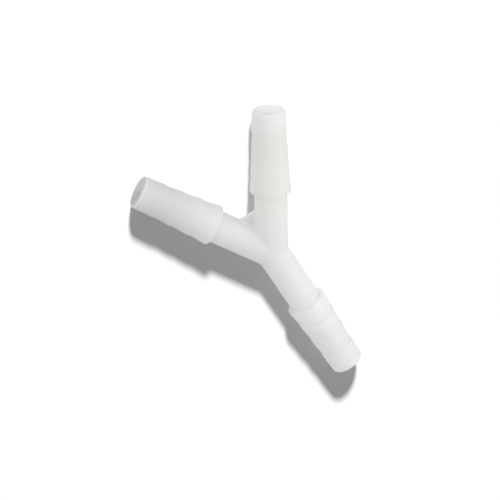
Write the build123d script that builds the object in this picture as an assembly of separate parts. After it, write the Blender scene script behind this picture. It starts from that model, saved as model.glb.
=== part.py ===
from build123d import *
import math
import os

# Barbed Y connector for soft tubing of about 10 mm bore, moulded in one piece.
# It lies flat: the three arm axes share one horizontal plane, the stem runs
# along -Y and the two branches lean 30 degrees to either side of +Y.
# Millimetres, +Z up.  The origin is the middle of the bounding box's underside.

# ---- driving dimensions ----------------------------------------------------
branch_angle = 30.0        # each branch away from the stem's line, degrees
arm_len = 45.6             # hub centre to the tip of each arm
bore_r = 4.0               # flow passage, the same in all three arms
neck_r = 4.95              # smooth pipe between the hub and the barbs

crest_r = [5.31, 5.57, 5.91, 6.22]    # barb crests, tip to hub
root_r = [5.03, 5.30, 5.58]           # roots behind the first three crests
first_crest = 7.08         # tip to the first crest
pitch = 6.17               # crest to crest
crest_land = 0.8           # short cylinder on the last, largest crest
tip_r = 5.0                # lead-in cone, carried on to the very tip

nose_round = 0.85          # outer rounding of the tip
mouth_round = 0.12         # inner rounding of the tip
crest_round = 0.12         # edge of each barb
root_round = 0.10          # corner behind the first three barbs
land_round = 1.5           # where the last ramp runs out into its crest land
shoulder_round = 0.20      # edge of the large shoulder
neck_round = 0.30          # corner between the shoulder and the neck

web_t = 1.8                # web in the crotch of the branches
web_edge = 14.35           # hub centre to the web's straight edge
web_round = 0.35           # rounding along the web's straight edge
bend_round = 2.4           # blend in the two wide corners beside the stem
crotch_round = 0.7         # blend where the branches part above the web


def rounded_outline(corners):
    """Closed face in the XZ plane from corners (x, z, radius), each corner
    rounded by a tangent arc of its own radius."""
    n = len(corners)
    starts, mids, ends = [], [], []
    for i, (x, z, r) in enumerate(corners):
        px, pz, _ = corners[i - 1]
        nx, nz, _ = corners[(i + 1) % n]
        ax, az = px - x, pz - z
        bx, bz = nx - x, nz - z
        la, lb = math.hypot(ax, az), math.hypot(bx, bz)
        ax, az, bx, bz = ax / la, az / la, bx / lb, bz / lb
        if r <= 0:
            starts.append((x, z))
            mids.append(None)
            ends.append((x, z))
            continue
        half = math.acos(max(-1.0, min(1.0, ax * bx + az * bz))) / 2
        t = r / math.tan(half)
        mx, mz = ax + bx, az + bz
        lm = math.hypot(mx, mz)
        mx, mz = mx / lm, mz / lm
        d = r / math.sin(half)
        starts.append((x + ax * t, z + az * t))
        mids.append((x + mx * (d - r), z + mz * (d - r)))
        ends.append((x + bx * t, z + bz * t))
    edges = []
    for i in range(n):
        if mids[i] is not None:
            edges.append(Edge.make_three_point_arc(
                Vector(starts[i][0], 0, starts[i][1]),
                Vector(mids[i][0], 0, mids[i][1]),
                Vector(ends[i][0], 0, ends[i][1])))
        j = (i + 1) % n
        edges.append(Edge.make_line(
            Vector(ends[i][0], 0, ends[i][1]),
            Vector(starts[j][0], 0, starts[j][1])))
    return Face(Wire(edges))


# ---- one arm, turned about its own axis ------------------------------------
# The half section is drawn in the XZ plane, X along the arm from the hub
# centre outwards and Z the radius, then revolved about X.
x_crest = [arm_len - first_crest - pitch * i for i in range(4)]


def arm_solid():
    corners = [
        (0.0, 0.0, 0),
        (0.0, neck_r, 0),
        (x_crest[3], neck_r, neck_round),
        (x_crest[3], crest_r[3], shoulder_round),
        (x_crest[3] + crest_land, crest_r[3], land_round),
        (x_crest[2], root_r[2], root_round),
        (x_crest[2], crest_r[2], crest_round),
        (x_crest[1], root_r[1], root_round),
        (x_crest[1], crest_r[1], crest_round),
        (x_crest[0], root_r[0], root_round),
        (x_crest[0], crest_r[0], crest_round),
        (arm_len, tip_r, nose_round),
        (arm_len, 0.0, 0),
    ]
    return Solid.revolve(rounded_outline(corners), 360, Axis.X)


def bore_solid():
    """The passage of one arm, with the small rounding of its mouth."""
    out = 1.0
    corners = [
        (0.0, 0.0, 0),
        (0.0, bore_r, 0),
        (arm_len, bore_r, 0),
        (arm_len, bore_r + out, 0),
        (arm_len + out, bore_r + out, 0),
        (arm_len + out, 0.0, 0),
    ]
    # the mouth is a corner of the removed solid that bends the other way
    corners[2] = (arm_len, bore_r, mouth_round)
    return Solid.revolve(rounded_outline(corners), 360, Axis.X)


# ---- three arms meeting at the hub -----------------------------------------
# The revolve's seam is turned to 37 degrees off the top, clear of every blend.
ARMS = {"stem": -90.0, "branch_left": 90.0 + branch_angle,
        "branch_right": 90.0 - branch_angle}


def placed(solid, name):
    return solid.rotate(Axis.X, 37).rotate(Axis.Z, ARMS[name])


def web_solid():
    """Flat web between the branches, its free edge square to the stem."""
    half = web_edge * math.tan(math.radians(branch_angle))
    outline = Face(Wire.make_polygon(
        [(0, 0, -web_t / 2), (half, web_edge, -web_t / 2),
         (-half, web_edge, -web_t / 2)], close=True))
    plate = Solid.extrude(outline, Vector(0, 0, web_t))
    free = [e for e in plate.edges()
            if abs(e.center().Y - web_edge) < 1e-6 and abs(e.center().X) < 1e-6]
    return plate.fillet(web_round, free)


def connector():
    outer = placed(arm_solid(), "stem")
    for name in ("branch_left", "branch_right"):
        outer = outer.fuse(placed(arm_solid(), name))
    outer = outer.solids()[0]

    # wide corners beside the stem
    bends = [e for e in outer.edges() if e.geom_type == GeomType.ELLIPSE
             and 2 < abs(e.center().X) < 6 and abs(e.center().Y) < 3]
    outer = outer.fillet(bend_round, bends)

    # web, blended into the crotch
    outer = outer.fuse(web_solid()).solids()[0]
    crotch = [e for e in outer.edges()
              if abs(e.center().X) < 1e-3 and 3 < e.center().Y < web_edge - 1
              and abs(e.center().Z) > 1]
    foot = [e for e in outer.edges() if e.geom_type == GeomType.LINE
            and abs(abs(e.center().Z) - web_t / 2) < 1e-3
            and 1 < abs(e.center().X) < 9 and 9 < e.center().Y < web_edge]
    print("bend edges", len(bends), "crotch edges", len(crotch), "foot edges", len(foot))
    outer = outer.fillet(crotch_round, crotch + foot)

    body = outer
    for name in ARMS:
        body = body.cut(placed(bore_solid(), name))
    return body.solids()[0]


body = connector()
box = body.bounding_box()
shift = Vector(-(box.min.X + box.max.X) / 2, -(box.min.Y + box.max.Y) / 2,
               crest_r[3])
body = body.translate(shift)
print("hub centre at", shift)
print("box", body.bounding_box(), "volume", body.volume, "valid", body.is_valid,
      "solids", len(body.solids()))

os.makedirs("parts", exist_ok=True)
export_step(body, "parts/y_connector_body.step")
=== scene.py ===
import bmesh
import bpy
import math
import numpy as np
from mathutils import Matrix, Vector


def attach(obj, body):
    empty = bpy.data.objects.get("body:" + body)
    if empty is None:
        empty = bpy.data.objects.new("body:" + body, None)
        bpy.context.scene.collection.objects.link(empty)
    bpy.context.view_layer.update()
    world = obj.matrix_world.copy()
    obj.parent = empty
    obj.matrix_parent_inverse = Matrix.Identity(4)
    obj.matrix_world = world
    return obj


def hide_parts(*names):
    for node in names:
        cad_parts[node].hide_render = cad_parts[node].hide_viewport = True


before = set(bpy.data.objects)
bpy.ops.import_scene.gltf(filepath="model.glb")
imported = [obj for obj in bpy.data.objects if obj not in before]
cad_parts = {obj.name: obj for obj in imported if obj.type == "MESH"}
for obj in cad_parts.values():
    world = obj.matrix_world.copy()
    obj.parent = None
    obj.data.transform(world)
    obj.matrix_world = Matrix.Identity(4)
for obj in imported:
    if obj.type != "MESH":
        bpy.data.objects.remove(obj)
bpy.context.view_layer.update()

# =================================================================================
# Dimensions of the moulding, in millimetres, hub centre at the local origin
# =================================================================================
MM = 0.001
HUB = np.array([0.0, 1.95108, 6.22])
BRANCH = math.radians(30.0)
ARM_LEN, BORE_R, NECK_R = 45.6, 4.0, 4.95
CREST = [5.31, 5.57, 5.91, 6.22]
ROOT = [5.03, 5.30, 5.58]
FIRST, PITCH, LAND, TIP_R = 7.08, 6.17, 0.8, 5.0
NOSE, MOUTH, CREST_RD, ROOT_RD = 0.85, 0.12, 0.12, 0.10
LAND_RD, SHOULDER_RD, NECK_RD = 1.5, 0.20, 0.30
WEB_T, WEB_EDGE, WEB_RD, BEND_RD, CROTCH_RD = 1.8, 14.35, 0.35, 2.4, 0.7
DIRS = {"stem": np.array([0.0, -1.0, 0.0]),
        "left": np.array([-math.sin(BRANCH), math.cos(BRANCH), 0.0]),
        "right": np.array([math.sin(BRANCH), math.cos(BRANCH), 0.0])}
CUT = {"stem": 6.0, "left": 15.6, "right": 15.6}   # where each arm's turned mesh begins
RING = 128                                         # points around an arm
SHOULDER_SHADE, BARB_SHADE = 0.50, 0.24            # how much of a step's slope shows in its shading


# =================================================================================
# Hub: signed distance with rolling-ball blends, every function gives (d, gradient)
# =================================================================================
def unit(g):
    return g / (np.sqrt((g * g).sum(1))[:, None] + 1e-12)


def pipe(p, a, r):
    t = np.maximum(p @ a, 0.0)
    q = p - t[:, None] * a
    d = np.sqrt((q * q).sum(1)) + 1e-12
    return d - r, q / d[:, None]


def least(a, b):
    pick = a[0] <= b[0]
    return np.where(pick, a[0], b[0]), np.where(pick[:, None], a[1], b[1])


def rolled(a, b, r):
    """Union of two shapes with a fillet of radius r in the corner between them."""
    (da, ga), (db, gb) = a, b
    c = np.clip((ga * gb).sum(1), -1.0, 1.0)
    s2 = np.maximum(1.0 - c * c, 1e-9)
    u, v = r - da, r - db
    alpha, beta = (u - c * v) / s2, (v - c * u) / s2
    inside = (alpha > 0) & (beta > 0)
    to_ball = alpha[:, None] * ga + beta[:, None] * gb
    gap = np.sqrt((to_ball * to_ball).sum(1))
    d = r - gap
    plain = least(a, b)
    use = inside & (d < plain[0])
    return (np.where(use, d, plain[0]),
            np.where(use[:, None], to_ball / (gap[:, None] + 1e-12), plain[1]))


def web(p):
    z = p[:, 2]
    qy, qz = p[:, 1] - (WEB_EDGE - WEB_RD), np.abs(z) - (WEB_T / 2 - WEB_RD)
    py, pz = np.maximum(qy, 0), np.maximum(qz, 0)
    out = np.hypot(py, pz)
    slab = out + np.minimum(np.maximum(qy, qz), 0) - WEB_RD
    g = np.zeros_like(p)
    corner = out > 1e-9
    g[:, 1] = np.where(corner, py / np.maximum(out, 1e-9), qy > qz)
    g[:, 2] = np.where(corner, pz / np.maximum(out, 1e-9), qy <= qz) * np.sign(z)
    side = np.abs(p[:, 0]) * math.cos(BRANCH) - p[:, 1] * math.sin(BRANCH)
    gs = np.zeros_like(p)
    gs[:, 0], gs[:, 1] = np.sign(p[:, 0]) * math.cos(BRANCH), -math.sin(BRANCH)
    pick = slab >= side
    return np.where(pick, slab, side), np.where(pick[:, None], g, gs)


def outer(p, bend_rd=BEND_RD, crotch_rd=CROTCH_RD, web_rd=CROTCH_RD):
    s, l, r = (pipe(p, DIRS[n], NECK_R) for n in ("stem", "left", "right"))
    bend = least(rolled(s, l, bend_rd), rolled(s, r, bend_rd))
    crotch = rolled(rolled(l, r, crotch_rd), web(p), web_rd)
    return least(bend, crotch)


def inner(p):
    s, l, r = (pipe(p, DIRS[n], BORE_R) for n in ("stem", "left", "right"))
    return least(least(rolled(s, l, 0.4), rolled(s, r, 0.4)), rolled(l, r, 0.4))


def hub(p):
    (do, go), (di, gi) = outer(p), inner(p)
    pick = do >= -di
    return np.where(pick, do, -di), np.where(pick[:, None], go, -gi)


def slope(f, p, h):
    g = np.empty_like(p)
    for i in range(3):
        e = np.zeros(3)
        e[i] = h
        g[:, i] = f(p + e)[0] - f(p - e)[0]
    return unit(g)


def shading_normals(p):
    """Exact in the bore. Outside, the creases shade as if rolled wider, as light spreads in the milky wall."""
    exact = slope(hub, p, 2e-4)
    wide = slope(lambda q: outer(q, 3.6, 2.2, 0.9), p, 2e-3)
    outside = outer(p)[0] > -0.05
    mixed = unit(0.25 * exact + 0.75 * wide)
    return np.where(outside[:, None], mixed, exact)


def web_share(p):
    """1 on the thin web between the branches, 0 on the tubes."""
    clear = np.minimum(pipe(p, DIRS["left"], NECK_R)[0], pipe(p, DIRS["right"], NECK_R)[0])
    t = np.clip((clear - 0.10) / 0.70, 0, 1)
    f = np.clip((np.abs(p[:, 2]) - 0.62) / 0.2, 0, 1)      # its faces, not its rounded edge
    between = np.abs(p[:, 0]) * math.cos(BRANCH) < p[:, 1] * math.sin(BRANCH)
    on_web = (np.abs(p[:, 2]) < WEB_T / 2 + 0.05) & (p[:, 1] < WEB_EDGE + 0.1) & between
    return np.where(on_web, t * t * (3 - 2 * t) * f, 0.0)


def surface_nets(f, lo, hi, h):
    """Quads on the zero surface of f inside a box."""
    n = [int(round((hi[i] - lo[i]) / h)) + 1 for i in range(3)]
    ax = [lo[i] + h * np.arange(n[i]) for i in range(3)]
    P = np.stack([g.ravel() for g in np.meshgrid(*ax, indexing="ij")], 1)
    v = np.concatenate([f(P[i:i + 200000])[0] for i in range(0, len(P), 200000)]).reshape(n)
    s = v < 0
    m = [k - 1 for k in n]
    total, count = np.zeros(m + [3]), np.zeros(m)

    def sub(arr, c):
        return arr[c[0]:c[0] + m[0], c[1]:c[1] + m[1], c[2]:c[2] + m[2]]

    for c in [(i, j, k) for i in (0, 1) for j in (0, 1) for k in (0, 1)]:
        for d in range(3):
            if c[d] == 1:
                continue
            e = list(c)
            e[d] = 1
            va, vb = sub(v, c), sub(v, e)
            cross = sub(s, c) != sub(s, e)
            t = np.where(cross, va / np.where(cross, va - vb, 1.0), 0.0)
            for k in range(3):
                total[..., k] += np.where(cross, c[k] + (t if k == d else 0.0), 0.0)
            count += cross
    active = count > 0
    index = -np.ones(m, int)
    index[active] = np.arange(active.sum())
    verts = np.array(lo) + h * (np.argwhere(active) + total[active] / count[active][:, None])
    quads = []
    for d in range(3):
        a, b = (d + 1) % 3, (d + 2) % 3
        first, second = [slice(None)] * 3, [slice(None)] * 3
        first[d], second[d] = slice(0, n[d] - 1), slice(1, n[d])
        s0, s1 = s[tuple(first)], s[tuple(second)]
        idx = np.argwhere(s0 != s1)
        idx = idx[(idx[:, a] > 0) & (idx[:, a] < n[a] - 1) & (idx[:, b] > 0) & (idx[:, b] < n[b] - 1)]
        flip = s0[tuple(idx.T)]
        c00, c10, c11, c01 = (idx.copy() for _ in range(4))
        c00[:, a] -= 1
        c00[:, b] -= 1
        c10[:, b] -= 1
        c01[:, a] -= 1
        q = np.stack([index[tuple(c.T)] for c in (c00, c10, c11, c01)], 1)
        q[~flip] = q[~flip][:, ::-1]
        quads.append(q)
    return verts, np.concatenate(quads)


def relax(f, v, quads, rounds=14, step=0.6):
    """Evens out the quads while every point stays on the surface."""
    e = np.concatenate([quads[:, [0, 1]], quads[:, [1, 2]], quads[:, [2, 3]], quads[:, [3, 0]]])
    e = np.unique(np.sort(e, 1), axis=0)
    deg = np.bincount(e.ravel(), minlength=len(v)).astype(float)
    for _ in range(rounds):
        acc = np.stack([np.bincount(e[:, 0], v[e[:, 1], k], len(v)) +
                        np.bincount(e[:, 1], v[e[:, 0], k], len(v)) for k in range(3)], 1)
        move = (acc / deg[:, None] - v) * step
        g = f(v)[1]
        v = v + move - (move * g).sum(1)[:, None] * g
        for _ in range(3):
            d, g = f(v)
            v = v - d[:, None] * g
    return v


# =================================================================================
# Arms: one half section, turned about the arm's own axis
# =================================================================================
def rounded(corners, seg):
    """Points (x, r, normal x, normal r) along a rounded open outline."""
    out = []

    def line_normal(a, b):
        dx, dr = b[0] - a[0], b[1] - a[1]
        l = math.hypot(dx, dr)
        return (-dr / l, dx / l)

    n = len(corners)
    for i, (x, r, rad) in enumerate(corners):
        if i == 0:
            out.append((x, r) + line_normal(corners[0], corners[1]))
            continue
        if i == n - 1:
            out.append((x, r) + line_normal(corners[n - 2], corners[n - 1]))
            continue
        n0, n1 = line_normal(corners[i - 1], corners[i]), line_normal(corners[i], corners[i + 1])
        a0, a1 = math.atan2(n0[1], n0[0]), math.atan2(n1[1], n1[0])
        turn = (a1 - a0 + math.pi) % (2 * math.pi) - math.pi
        t = rad * math.tan(abs(turn) / 2)
        dx, dr = x - corners[i - 1][0], r - corners[i - 1][1]
        l = math.hypot(dx, dr)
        sx, sr = x - dx / l * t, r - dr / l * t
        side = -1.0 if turn < 0 else 1.0           # which side of the line the centre lies on
        cx, cr = sx + side * n0[0] * rad, sr + side * n0[1] * rad
        k = max(2, seg(rad, abs(turn)))
        for j in range(k + 1):
            a = a0 + turn * j / k
            nx, nr = math.cos(a), math.sin(a)
            out.append((cx - side * nx * rad, cr - side * nr * rad, nx, nr))
    return out


def fill(points, longest):
    out = [points[0]]
    for p in points[1:]:
        q = out[-1]
        l = math.hypot(p[0] - q[0], p[1] - q[1])
        k = max(1, int(math.ceil(l / longest - 1e-6)))
        for j in range(1, k + 1):
            t = j / k
            x, r, nx, nr = (q[c] + (p[c] - q[c]) * t for c in range(4))
            s = math.hypot(nx, nr)
            out.append((x, r, nx / s, nr / s))
    return out


def soften(p, xc):
    """Light spreads sideways in the milky wall, so the steps shade less sharply than they are cut."""
    x, r, nx, nr = p
    if x > ARM_LEN - NOSE - 0.3:
        return p
    keep = SHOULDER_SHADE if x < xc[3] + 0.6 else BARB_SHADE
    nx *= keep
    s = math.hypot(nx, max(nr, 0.05))
    return (x, r, nx / s, max(nr, 0.05) / s)


def arm_profile(start):
    """From the neck at x = start, out over the barbs, round the tip and back along the bore.
    Walking towards the tip along the outside, the outline's left-hand normal points outwards."""
    xc = [ARM_LEN - FIRST - PITCH * i for i in range(4)]
    corners = [
        (start, NECK_R, 0),
        (xc[3], NECK_R, NECK_RD), (xc[3], CREST[3], SHOULDER_RD),
        (xc[3] + LAND, CREST[3], LAND_RD),
        (xc[2], ROOT[2], ROOT_RD), (xc[2], CREST[2], CREST_RD),
        (xc[1], ROOT[1], ROOT_RD), (xc[1], CREST[1], CREST_RD),
        (xc[0], ROOT[0], ROOT_RD), (xc[0], CREST[0], CREST_RD),
        (ARM_LEN, TIP_R, NOSE), (ARM_LEN, BORE_R, MOUTH), (start, BORE_R, 0)]

    def seg(rad, turn):
        return int(round(turn / math.radians(11 if rad >= 0.5 else 18)))

    pts = rounded(corners, seg)
    tip = max(range(len(pts)), key=lambda i: pts[i][0])
    outside = [soften(p, xc) for p in fill(pts[:tip + 1], 0.62)]
    inside = fill(pts[tip:], 1.6)
    return outside + inside[1:]


def build_moulding():
    # ---- hub ----
    h = 0.3
    # the grid is centred, so that both halves of the mesh mirror each other
    lo = (-h * 47.5, -h * 26.5, -h * 17.5)
    hi = (h * 47.5, h * 61.5, h * 17.5)
    v, q = surface_nets(hub, lo, hi, h)
    v = relax(hub, v, q)
    mesh = bpy.data.meshes.new("hub_tmp")
    mesh.from_pydata([tuple(c) for c in v], [], [tuple(int(i) for i in f) for f in q])
    bm = bmesh.new()
    bm.from_mesh(mesh)
    for name, a in DIRS.items():
        # only this arm's side of the hub is cut, on a plane square to the arm
        geom = bm.verts[:] + bm.edges[:] + bm.faces[:]
        bmesh.ops.bisect_plane(bm, geom=geom, dist=0.02, plane_co=Vector(a * CUT[name]),
                               plane_no=Vector(a), clear_outer=True, clear_inner=False)
    bm.verts.ensure_lookup_table()
    loose = [w for w in bm.verts if not w.link_faces]
    bmesh.ops.delete(bm, geom=loose, context="VERTS")
    bm.verts.ensure_lookup_table()
    bm.verts.index_update()
    loops = {}
    co = np.array([w.co for w in bm.verts])
    rim = np.array([w.is_boundary for w in bm.verts])
    for name, a in DIRS.items():
        on = rim & (np.abs(co @ a - CUT[name]) < 0.05)
        idx = np.nonzero(on)[0]
        s = np.cross(a, [0.0, 0.0, 1.0])
        rel = co[idx] - CUT[name] * a
        rad = np.hypot(rel @ s, rel[:, 2])
        ang = np.arctan2(rel[:, 2], rel @ s)
        for kind, r in (("out", NECK_R), ("in", BORE_R)):
            pick = np.abs(rad - r) < 0.3
            order = np.argsort(ang[pick])
            ids, angs = idx[pick][order], ang[pick][order]
            # exactly on the cut plane and on the pipe
            for i, t in zip(ids, angs):
                c = CUT[name] * a + r * (math.cos(t) * s + math.sin(t) * np.array([0, 0, 1.0]))
                bm.verts[int(i)].co = Vector(c)
            loops[(name, kind)] = (ids, angs)
    verts = [tuple(w.co) for w in bm.verts]
    faces = [tuple(w.index for w in f.verts) for f in bm.faces]
    bm.free()
    bpy.data.meshes.remove(mesh)
    hv = np.array(verts)
    normals = shading_normals(hv)
    for name, a in DIRS.items():
        s = np.cross(a, [0.0, 0.0, 1.0])
        for kind, sign in (("out", 1.0), ("in", -1.0)):
            ids, angs = loops[(name, kind)]
            normals[ids] = sign * (np.cos(angs)[:, None] * s + np.sin(angs)[:, None] * np.array([0, 0, 1.0]))
    allv, alln, allf = [hv], [normals], faces
    base = len(hv)

    # ---- arms ----
    for name, a in DIRS.items():
        s = np.cross(a, [0.0, 0.0, 1.0])
        prof = arm_profile(CUT[name] + 0.3)
        th = 2 * math.pi * (np.arange(RING) + 0.5) / RING - math.pi
        rings = []
        for (x, r, nx, nr) in prof:
            dirs = np.cos(th)[:, None] * s + np.sin(th)[:, None] * np.array([0, 0, 1.0])
            rings.append(base + np.arange(RING))
            allv.append(x * a + r * dirs)
            alln.append(nx * a + nr * dirs)
            base += RING
        for r0, r1 in zip(rings[:-1], rings[1:]):
            for j in range(RING):
                k = (j + 1) % RING
                allf.append((int(r0[j]), int(r1[j]), int(r1[k]), int(r0[k])))
        for kind, ring in (("out", rings[0]), ("in", rings[-1])):
            ids, angs = loops[(name, kind)]
            allf += zipper(ids, angs, ring, th, kind == "out")
    V = np.concatenate(allv)
    N = unit(np.concatenate(alln))
    return V, N, allf


def zipper(ids, angs, ring, th, outward):
    """Triangles between two closed loops that share an axis, merged by angle."""
    A, B = list(map(int, ids)), list(map(int, ring))
    na, nb = len(A), len(B)
    out = []
    i = j = 0
    # both lists are sorted by angle from -pi
    while i < na or j < nb:
        an = angs[i + 1] if i + 1 < na else angs[(i + 1) % na] + 2 * math.pi
        bn = th[j + 1] if j + 1 < nb else th[(j + 1) % nb] + 2 * math.pi
        if j >= nb or (i < na and an <= bn):
            tri = (A[i % na], B[j % nb], A[(i + 1) % na])
            i += 1
        else:
            tri = (A[i % na], B[j % nb], B[(j + 1) % nb])
            j += 1
        out.append(tri if outward else tri[::-1])
    return out


V, N, F = build_moulding()
mesh = bpy.data.meshes.new("moulded_y_connector")
mesh.from_pydata([tuple(c) for c in (V + HUB) * MM], [], F)
mesh.validate(verbose=True)
mesh.update()
centres = np.array([V[list(f)].mean(0) for f in F])
to_axis = np.min([np.linalg.norm(centres - np.maximum(centres @ a, 0)[:, None] * a, axis=1)
                  for a in DIRS.values()], axis=0)
mesh.polygons.foreach_set("use_smooth", np.ones(len(F), bool))
mesh.polygons.foreach_set("material_index", (to_axis < BORE_R + 0.06).astype(np.int32))
assert len(mesh.vertices) == len(N)
mesh.normals_split_custom_set_from_vertices([tuple(n) for n in N])
thin = mesh.attributes.new("thin_web", "FLOAT", "POINT")
thin.data.foreach_set("value", web_share(V).astype(np.float32))
body = bpy.data.objects.new("moulded_y_connector", mesh)
bpy.context.scene.collection.objects.link(body)

# =================================================================================
# Milky natural polypropylene: cloudy, translucent, satin moulded skin
# =================================================================================
def polypropylene(name, hub_color, tip_color, through, rough, parting):
    m = bpy.data.materials.new(name)
    m.use_nodes = True
    nt = m.node_tree
    new, link = nt.nodes.new, nt.links.new
    b = nt.nodes["Principled BSDF"]
    out = nt.nodes["Material Output"]

    def math_node(op, x, y=None, clamp=False):
        n = new("ShaderNodeMath")
        n.operation, n.use_clamp = op, clamp
        for i, v in enumerate((x, y)):
            if v is None:
                continue
            if isinstance(v, (int, float)):
                n.inputs[i].default_value = v
            else:
                link(v, n.inputs[i])
        return n.outputs[0]

    def ramp(x, lo, hi, a, b_, smooth=True):
        n = new("ShaderNodeMapRange")
        n.interpolation_type = "SMOOTHSTEP" if smooth else "LINEAR"
        link(x, n.inputs["Value"])
        for k, v in (("From Min", lo), ("From Max", hi), ("To Min", a), ("To Max", b_)):
            n.inputs[k].default_value = v
        return n.outputs["Result"]

    def noise(scale, detail, rough_=0.5):
        n = new("ShaderNodeTexNoise")
        link(coord.outputs["Object"], n.inputs["Vector"])
        n.inputs["Scale"].default_value = scale
        n.inputs["Detail"].default_value = detail
        n.inputs["Roughness"].default_value = rough_
        return n.outputs["Fac"]

    coord = new("ShaderNodeTexCoord")
    xyz = new("ShaderNodeSeparateXYZ")
    link(coord.outputs["Object"], xyz.inputs[0])
    # distance from the hub: the thick joint scatters more light and reads whiter than the thin ends
    dist = new("ShaderNodeVectorMath")
    dist.operation = "DISTANCE"
    link(coord.outputs["Object"], dist.inputs[0])
    dist.inputs[1].default_value = tuple(HUB * MM)
    away = ramp(dist.outputs["Value"], 0.006, 0.046, 0.0, 1.0)
    # broad clouds from the melt's flow, and fine milkiness
    cloud = ramp(noise(95.0, 3.0, 0.55), 0.32, 0.68, -1.0, 1.0)
    fine = ramp(noise(520.0, 4.0, 0.6), 0.30, 0.70, -1.0, 1.0)
    level = math_node("ADD", math_node("MULTIPLY", cloud, CLOUD), math_node("MULTIPLY", fine, FINE))
    fac = math_node("ADD", away, math_node("MULTIPLY", level, -6.0), clamp=True)
    tone = new("ShaderNodeMix")
    tone.data_type = "RGBA"
    link(fac, tone.inputs["Factor"])
    tone.inputs["A"].default_value = hub_color + (1.0,)
    tone.inputs["B"].default_value = tip_color + (1.0,)
    # a faint ivory cast that grows towards the ends of both branches, sooner along the right one
    along = new("ShaderNodeVectorMath")
    along.operation = "DOT_PRODUCT"
    link(coord.outputs["Object"], along.inputs[0])
    along.inputs[1].default_value = tuple(DIRS["right"])
    cast = new("ShaderNodeMix")
    cast.data_type, cast.blend_type = "RGBA", "MULTIPLY"
    link(ramp(along.outputs["Value"], 0.004, 0.024, 0.0, 1.0), cast.inputs["Factor"])
    link(tone.outputs["Result"], cast.inputs["A"])
    cast.inputs["B"].default_value = (1.0, 1.0, 0.978, 1.0)
    # the mouth that the light doesn't reach: its end face and bore keep a greyer tone
    reach = new("ShaderNodeVectorMath")
    reach.operation = "DOT_PRODUCT"
    link(coord.outputs["Object"], reach.inputs[0])
    reach.inputs[1].default_value = tuple(DIRS["left"])
    off_hub = float(HUB @ DIRS["left"]) * MM
    # a cooler, slightly darker tone towards the left arm's end, and a weaker one towards the right arm's end
    cool = new("ShaderNodeMix")
    cool.data_type, cool.blend_type = "RGBA", "MULTIPLY"
    link(ramp(reach.outputs["Value"], off_hub + 0.012, off_hub + 0.034, 0.0, 1.0), cool.inputs["Factor"])
    link(cast.outputs["Result"], cool.inputs["A"])
    cool.inputs["B"].default_value = (0.962, 0.971, 0.988, 1.0)
    grey = new("ShaderNodeMix")
    grey.data_type, grey.blend_type = "RGBA", "MULTIPLY"
    link(ramp(reach.outputs["Value"], off_hub + MOUTH_FROM[parting], off_hub + MOUTH_TO[parting], 0.0, 1.0),
         grey.inputs["Factor"])
    link(cool.outputs["Result"], grey.inputs["A"])
    grey.inputs["B"].default_value = MOUTH_GREY[parting] + (1.0,)
    # the web is thin enough for the shade below it to show through
    share = new("ShaderNodeAttribute")
    share.attribute_name = "thin_web"
    sheer = new("ShaderNodeMix")
    sheer.data_type, sheer.blend_type = "RGBA", "MULTIPLY"
    link(share.outputs["Fac"], sheer.inputs["Factor"])
    link(grey.outputs["Result"], sheer.inputs["A"])
    sheer.inputs["B"].default_value = (0.835, 0.83, 0.83, 1.0)
    color = sheer.outputs["Result"]
    if parting:
        # the thin flash at the mould's parting line is a real ridge (in the bump below); its paleness, and that of
        # the surfaces facing downward
        #         # and of the rounded lip of the greyer mouth, is painted highlight, standing in for bright rims
        #         along these edges
        geo = new("ShaderNodeNewGeometry")
        facing = new("ShaderNodeSeparateXYZ")
        link(geo.outputs["Normal"], facing.inputs[0])
        # painted highlight on the surfaces that face downward, under the parting line
        painted_underside_light = ramp(facing.outputs["Z"], -0.16, -0.34, 0.0, 0.95)
        aside = math_node("ABSOLUTE", math_node("SUBTRACT", xyz.outputs["Z"], float(HUB[2]) * MM))
        line = ramp(aside, 0.00010, 0.00030, 0.55, 0.0)
        # painted highlight on the rounded lip of the left arm's mouth
        lip_in = ramp(reach.outputs["Value"], off_hub + 0.04445, off_hub + 0.04480, 0.0, 1.0)
        lip_out = ramp(reach.outputs["Value"], off_hub + 0.04505, off_hub + 0.04530, 1.0, 0.0)
        painted_highlight = math_node("MAXIMUM", math_node("MAXIMUM", painted_underside_light, line), math_node("MULTIPLY", lip_in, lip_out), True)
        highlight_paint = new("ShaderNodeMix")
        highlight_paint.data_type = "RGBA"
        link(painted_highlight, highlight_paint.inputs["Factor"])
        link(color, highlight_paint.inputs["A"])
        highlight_paint.inputs["B"].default_value = (0.985, 0.985, 0.965, 1.0)
        color = highlight_paint.outputs["Result"]
    link(color, b.inputs["Base Color"])
    # satin skin: a little smoother on the crests of the flow lines
    link(ramp(noise(300.0, 3.0), 0.3, 0.7, rough - 0.04, rough + 0.05), b.inputs["Roughness"])
    b.inputs["IOR"].default_value = 1.49
    b.inputs["Subsurface Weight"].default_value = 1.0
    b.inputs["Subsurface Radius"].default_value = (1.0, 1.0, 1.0)
    b.inputs["Subsurface Scale"].default_value = SSS

    # fine grain of the mould, and slow waviness where the wall has sunk
    grain = math_node("MULTIPLY", noise(2600.0, 2.0), 0.10)
    wave = math_node("MULTIPLY", noise(210.0, 1.0), 0.45)
    height = math_node("ADD", grain, wave)
    if parting:
        off = math_node("ABSOLUTE", math_node("SUBTRACT", xyz.outputs["Z"], float(HUB[2]) * MM))
        ridge = ramp(off, 0.00004, 0.00016, PARTING, 0.0)
        height = math_node("ADD", height, ridge)
    bump = new("ShaderNodeBump")
    bump.inputs["Strength"].default_value = 1.0
    bump.inputs["Distance"].default_value = 0.00004 if parting else 0.00002
    link(height, bump.inputs["Height"])
    link(bump.outputs["Normal"], b.inputs["Normal"])

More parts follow.
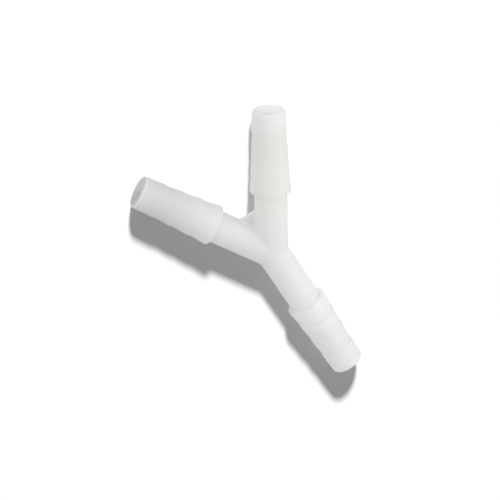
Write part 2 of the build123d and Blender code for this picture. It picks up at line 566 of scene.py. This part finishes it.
    glow = new("ShaderNodeBsdfTranslucent")
    link(color, glow.inputs["Color"])
    mix = new("ShaderNodeMixShader")
    mix.inputs[0].default_value = through
    link(b.outputs[0], mix.inputs[1])
    link(glow.outputs[0], mix.inputs[2])
    link(mix.outputs[0], out.inputs["Surface"])
    return m


SSS, CLOUD, FINE, PARTING = 0.0016, 0.020, 0.008, 1.1
# by skin (True) and bore (False): where the greyer mouth begins and ends along the arm, and its tone
MOUTH_FROM, MOUTH_TO = {True: 0.04510, False: 0.022}, {True: 0.04540, False: 0.044}
MOUTH_GREY = {True: (0.80, 0.80, 0.785), False: (0.78, 0.785, 0.765)}
HUB_WHITE, TIP_WHITE = (0.960, 0.954, 0.964), (0.880, 0.876, 0.890)
BORE_WHITE, BORE_TIP = (0.940, 0.938, 0.942), (0.940, 0.938, 0.942)
body.data.materials.append(polypropylene(
    "natural_polypropylene", HUB_WHITE, TIP_WHITE, 0.58, 0.22, True))
body.data.materials.append(polypropylene(
    "natural_polypropylene_bore", BORE_WHITE, BORE_TIP, 0.58, 0.30, False))
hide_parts("y_connector_body")
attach(body, "root")

# =================================================================================
# Floor, light, camera
# =================================================================================
fm = bpy.data.materials.new("studio_floor")
fm.use_nodes = True
fm.node_tree.nodes["Principled BSDF"].inputs["Base Color"].default_value = (0.9, 0.9, 0.9, 1)
fm.node_tree.nodes["Principled BSDF"].inputs["Roughness"].default_value = 0.9
fm.node_tree.nodes["Principled BSDF"].inputs["Specular IOR Level"].default_value = 0.0
pm = bpy.data.meshes.new("floor")
S = 3.0
pm.from_pydata([(-S, -S, 0), (S, -S, 0), (S, S, 0), (-S, S, 0)], [], [(0, 1, 2, 3)])
floor = bpy.data.objects.new("floor", pm)
floor.data.materials.append(fm)
bpy.context.scene.collection.objects.link(floor)


# The floor's key casts the one clear shadow. The object has softer lights of its own, as from large diffusers.
on_floor = bpy.data.collections.new("lit_by_key")
on_floor.objects.link(floor)
on_object = bpy.data.collections.new("lit_by_diffusers")
on_object.objects.link(body)


def soft(name, az, el, angle, strength, receives):
    light = bpy.data.lights.new(name, "SUN")
    light.angle = math.radians(angle)
    light.energy = math.pi * strength
    o = bpy.data.objects.new(name, light)
    a, e = math.radians(az), math.radians(el)
    d = Vector((math.cos(e) * math.cos(a), math.cos(e) * math.sin(a), math.sin(e)))
    o.location = d * 0.5
    o.rotation_euler = d.to_track_quat("Z", "Y").to_euler()
    o.light_linking.receiver_collection = receives
    bpy.context.scene.collection.objects.link(o)
    return o


WORLD, FLOOR = 0.292, 0.765
KEY_AZ, KEY_EL = 57.6, 33.6
soft("key", KEY_AZ, KEY_EL, 6.0, FLOOR / 0.9 / math.sin(math.radians(KEY_EL)), on_floor)
for name, az, el, strength in (("right_low", 315, 15, 0.2409), ("right_side", 5, 18, 0.1999),
                               ("right_high", 330, 45, 0.2255), ("top", 150, 75, 0.2562),
                               ("back_left", 100, 45, 0.2972), ("back_right", 50, 50, 0.0564)):
    soft(name, az, el, 50.0, strength, on_object)
world = bpy.data.worlds.new("studio")
world.use_nodes = True
world.node_tree.nodes["Background"].inputs["Color"].default_value = (1, 1, 1, 1)
world.node_tree.nodes["Background"].inputs["Strength"].default_value = WORLD
bpy.context.scene.world = world
bpy.context.scene.view_settings.view_transform = "Standard"

# camera: fitted position, 0.3 mm to a unit, hub centre as the origin of the fit
cam = bpy.data.cameras.new("camera")
cam.sensor_fit = "HORIZONTAL"
cam.sensor_width = 36.0
cam.lens = 36.0 * 2322.0 / 500.0
cam.clip_start = 0.01
cam.clip_end = 20.0
co = bpy.data.objects.new("camera", cam)
right = Vector((0.8469, -0.5171, 0.1237))
down = Vector((-0.5173, -0.7475, 0.4167))
fwd = Vector((-0.1230, -0.4169, -0.9006))
# tidy the three axes
fwd.normalize()
right = (right - fwd * right.dot(fwd)).normalized()
down = fwd.cross(right)
hub_m = Vector(HUB * MM)
T = Vector((271.885 - 250.0, 251.368 - 250.0, 2322.0))   # hub in camera units
co.location = hub_m - (right * T.x + down * T.y + fwd * T.z) * 0.0003
rot = Matrix((right, -down, -fwd)).transposed()
co.matrix_world = Matrix.Translation(co.location) @ rot.to_4x4()
bpy.context.scene.collection.objects.link(co)
bpy.context.scene.camera = co


def plain(b):
    return [[float(c) for c in corner] for corner in b]
